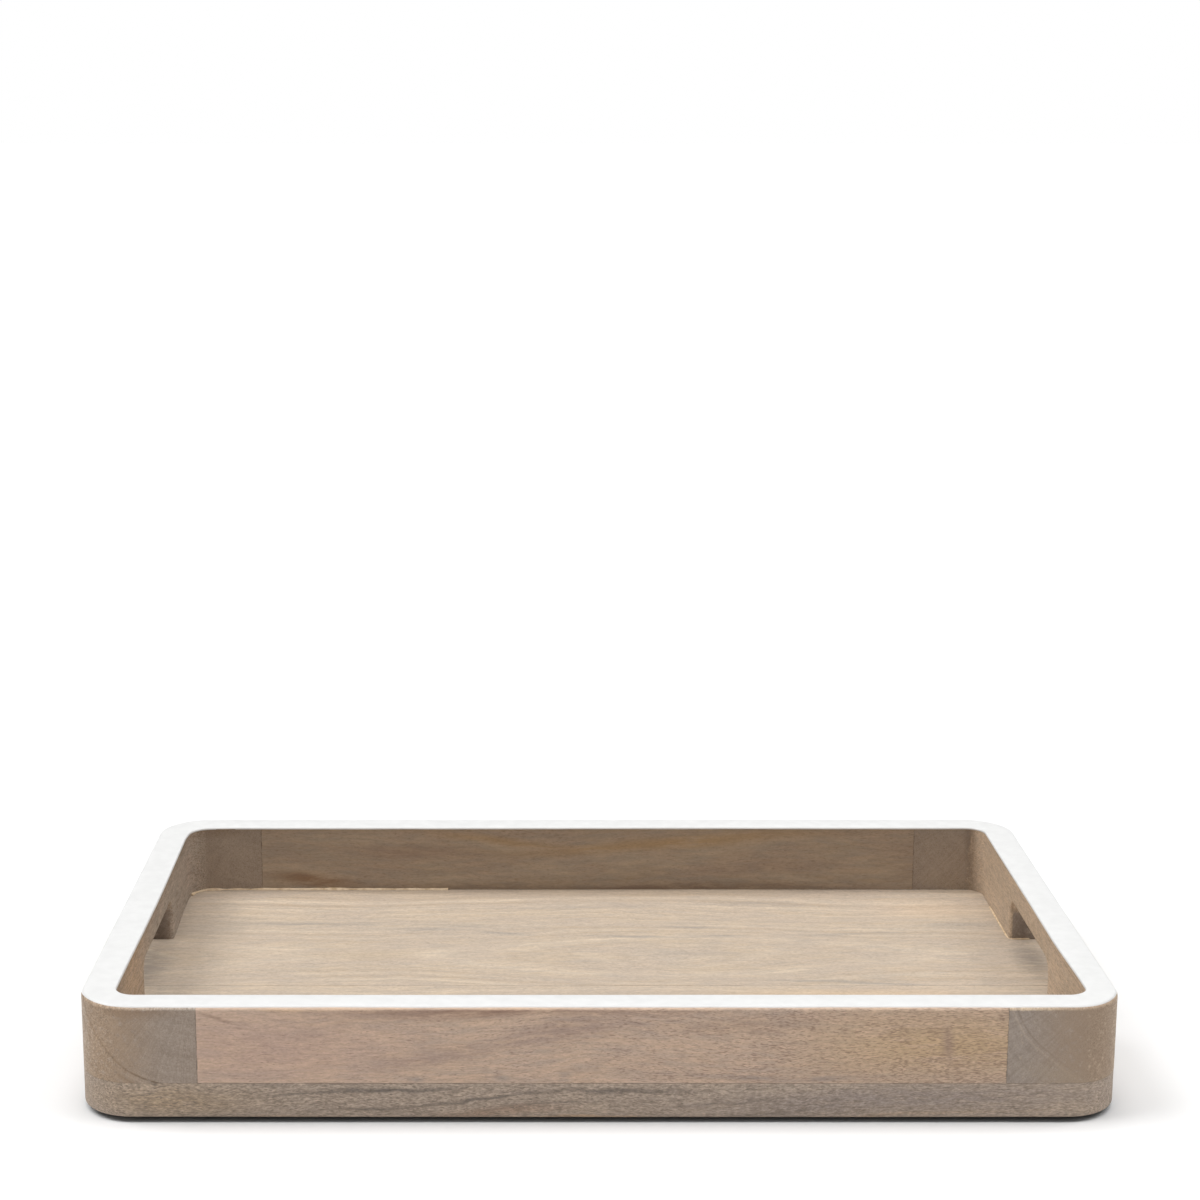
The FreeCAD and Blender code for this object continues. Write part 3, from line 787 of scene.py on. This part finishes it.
enamel, tree = new_material("brushed_white_enamel")
strokes = add(tree, "TexNoise", {"Vector": in_millimetres(tree), "Scale": 1 / 6, "Detail": 3.0})
tint = add(tree, "MapRange", [strokes, 0.3, 0.7, 0.0, 1.0])
colour = add(tree, "MixRGB", [tint, linear("e0e0df"), linear("e5e5e4")])
rough = add(tree, "MapRange", [strokes, 0.3, 0.7, 0.34, 0.44])
bump = add(tree, "Bump", {"Height": strokes, "Strength": 0.3, "Distance": 0.1 * MM})
shader = add(tree, "BsdfPrincipled", {
    "Base Color": colour, "Roughness": rough, "IOR": 1.5, "Normal": bump,
})
add(tree, "OutputMaterial", [shader])

enamel_mesh = bpy.data.meshes.new("rim_coat")
work = bmesh.new()
rings = [[work.verts.new(point) for point in rim_section(*station)] for station in rim_stations()]
joined_rings(work, [*rings, rings[0]])
bmesh.ops.recalc_face_normals(work, faces=work.faces)
work.to_mesh(enamel_mesh)
work.free()
shade_smooth(enamel_mesh)
rim = new_piece("rim_coat", enamel_mesh, enamel)
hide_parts("rim_enamel")


# Dried glue: thin ambered beads squeezed out where the walls meet the floor, left along the
# back of the left corner and along the right wall as far as the end of the hand slot.
LEFT_BEAD = 1.4
RIGHT_BEAD = 0.8
SUNK = 0.3
LEFT_BEAD_END = -98
RIGHT_BEAD_START = 124
BEAD_STEP = 4
INNER_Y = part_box("back_rail")[0].y / MM
INNER_X = OUTER_X - WALL
INNER_RADIUS = 12
glue, tree = new_material("dried_wood_glue")
dirt = add(tree, "TexNoise", {"Vector": in_millimetres(tree), "Scale": 1 / 4, "Detail": 3.0})
amount = add(tree, "MapRange", [dirt, 0.4, 0.7, 0.0, 1.0])
colour = add(tree, "MixRGB", [amount, linear("e6cfae"), linear("c4a780")])
shader = add(tree, "BsdfPrincipled", {"Base Color": colour, "Roughness": 0.45, "IOR": 1.47})
add(tree, "OutputMaterial", [shader])


def bead(name, path, side, thickness):
    """A bead of glue along a path in the corner of floor and wall, the wall on one side."""
    made = bpy.data.meshes.new(name)
    work = bmesh.new()
    spots = [Vector((x, y, BASE_TOP)) for x, y in path]
    up = Vector((0, 0, 1))
    sections = []
    for number, spot in enumerate(spots):
        before, after = spots[max(number - 1, 0)], spots[min(number + 1, len(spots) - 1)]
        run = (after - before).normalized()
        out = Vector((-run.y, run.x, 0)) * side
        size = thickness * (1 + 0.6 * noise.noise(spot / 9))
        foot = by_hand((spot + up * 0.1) * MM) / MM - up * SUNK
        section = [
            (-SUNK, 0), (size, 0), (size * 0.9, 0.55), (size * 0.3, SUNK + size * 0.7),
            (-SUNK, SUNK + size * 0.8),
        ]
        sections.append([
            work.verts.new((foot + out * across + up * rise) * MM) for across, rise in section
        ])
    joined_rings(work, sections)
    work.faces.new(sections[0])
    work.faces.new(sections[-1])
    bmesh.ops.recalc_face_normals(work, faces=work.faces)
    work.to_mesh(made)
    work.free()
    new_piece(name, made, glue)


corner_x, corner_y = -INNER_X + INNER_RADIUS, INNER_Y - INNER_RADIUS
left_path = [(x, INNER_Y) for x in range(LEFT_BEAD_END, int(corner_x), -BEAD_STEP)]
for k in range(9):
    angle = math.pi / 2 + k * math.pi / 16
    left_path.append((
        corner_x + INNER_RADIUS * math.cos(angle), corner_y + INNER_RADIUS * math.sin(angle),
    ))
bead("glue_bead_left", left_path, 1, LEFT_BEAD)
right_path = [(INNER_X, y) for y in range(RIGHT_BEAD_START, SLOT_REACH + 3, -BEAD_STEP)]
for in_slot, past_end in ((0.6, 1.6), (2.5, 0.2), (7, 0), (14, 0)):
    right_path.append((INNER_X + in_slot, SLOT_REACH + past_end))
bead("glue_bead_right", right_path, -1, RIGHT_BEAD)


# Dowels: plain beech pins 8 mm thick, glued into both halves of each butt joint. They are
# hidden in the finished tray.
beech, tree = new_material("plain_beech")
thread = add(tree, "VectorMath", [in_millimetres(tree), (1 / 12, 1 / 0.6, 1 / 0.6)],
             operation="MULTIPLY")
fibres = add(tree, "TexNoise", {"Vector": thread, "Scale": 1.0, "Detail": 2.0})
colour = add(tree, "MixRGB", [fibres, linear("d9b88e"), linear("c29a6c")])
shader = add(tree, "BsdfPrincipled", {"Base Color": colour, "Roughness": 0.6, "IOR": 1.46})
add(tree, "OutputMaterial", [shader])
for node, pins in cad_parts.items():
    if node.startswith("dowels"):
        for holder in pins.material_slots:
            holder.material = beech


# Screws: countersunk wood screws of zinc-plated steel with a thin yellowish bloom, driven
# up through the base into the walls.
zinc, tree = new_material("zinc_plated_steel")
bloom = add(tree, "TexNoise", {"Vector": in_millimetres(tree), "Scale": 1 / 1.5, "Detail": 3.0})
colour = add(tree, "MixRGB", [bloom, linear("c9c6bd"), linear("a9a390")])
rough = add(tree, "MapRange", [bloom, 0.3, 0.7, 0.28, 0.45])
shader = add(tree, "BsdfPrincipled", {"Base Color": colour, "Metallic": 1.0, "Roughness": rough})
add(tree, "OutputMaterial", [shader])
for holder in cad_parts["base_screws"].material_slots:
    holder.material = zinc


# Felt pads: four discs of pressed dark wool stuck under the corners. Their cut edges are
# fuzzy and their lower faces are pressed a little uneven by the weight of the tray.
PAD_TURNS = 48
FUZZ = 0.12
FUZZ_SIZE = 1.3
PRESSED = 0.05
# The outline of a pad from the middle of its lower face to the middle of its upper face, as
# shares of its radius and its thickness.
PAD_OUTLINE = [
    (0.0, 0.02), (0.35, 0.04), (0.7, 0.02), (0.88, 0.03), (0.95, 0.12), (0.985, 0.3),
    (0.99, 0.6), (0.975, 0.85), (0.95, 0.98), (0.6, 1.0), (0.0, 1.0),
]
felt, tree = new_material("pressed_wool_felt")
fuzz = add(tree, "TexNoise", {"Vector": in_millimetres(tree), "Scale": 1 / 0.7, "Detail": 4.0})
colour = add(tree, "MixRGB", [fuzz, linear("3a3530"), linear("574f47")])
bump = add(tree, "Bump", {"Height": fuzz, "Strength": 0.8, "Distance": 0.3 * MM})
shader = add(tree, "BsdfPrincipled", {
    "Base Color": colour, "Roughness": 0.95, "Sheen Weight": 0.3, "Normal": bump,
})
add(tree, "OutputMaterial", [shader])


def pad_ring(work, centre, radius, share, height):
    """One ring of points of a pad's outline, or the single point in the middle."""
    ring = []
    for k in range(PAD_TURNS if share else 1):
        angle = k * math.tau / PAD_TURNS
        out = Vector((math.cos(angle), math.sin(angle), 0))
        spot = Vector((centre.x, centre.y, height)) + out * radius * share
        bump_here = noise.noise(spot / (FUZZ_SIZE * MM))
        spot += out * share * bump_here * FUZZ * MM
        if height < centre.z:
            spot.z += PRESSED * (1 + bump_here) * MM
        ring.append(work.verts.new(spot))
    return ring


def felt_disc(node):
    """A felt pad in place of its plain CAD solid."""
    lowest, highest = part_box(node)
    thickness = highest.z - lowest.z
    made = bpy.data.meshes.new(node.replace("felt_pad", "felt_disc"))
    work = bmesh.new()
    centre = (lowest + highest) / 2
    radius = (highest.x - lowest.x) / 2
    rings = [
        pad_ring(work, centre, radius, share, lowest.z + thickness * height)
        for share, height in PAD_OUTLINE
    ]
    joined_rings(work, rings[1:-1])
    for middle, ring in ((rings[0][0], rings[1]), (rings[-1][0], rings[-2])):
        for k in range(PAD_TURNS):
            work.faces.new((middle, ring[k], ring[(k + 1) % PAD_TURNS]))
    bmesh.ops.recalc_face_normals(work, faces=work.faces)
    work.to_mesh(made)
    work.free()
    shade_smooth(made)
    disc = new_piece(made.name, made, felt)
    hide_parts(node)


for node in [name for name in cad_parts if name.startswith("felt_pad")]:
    felt_disc(node)
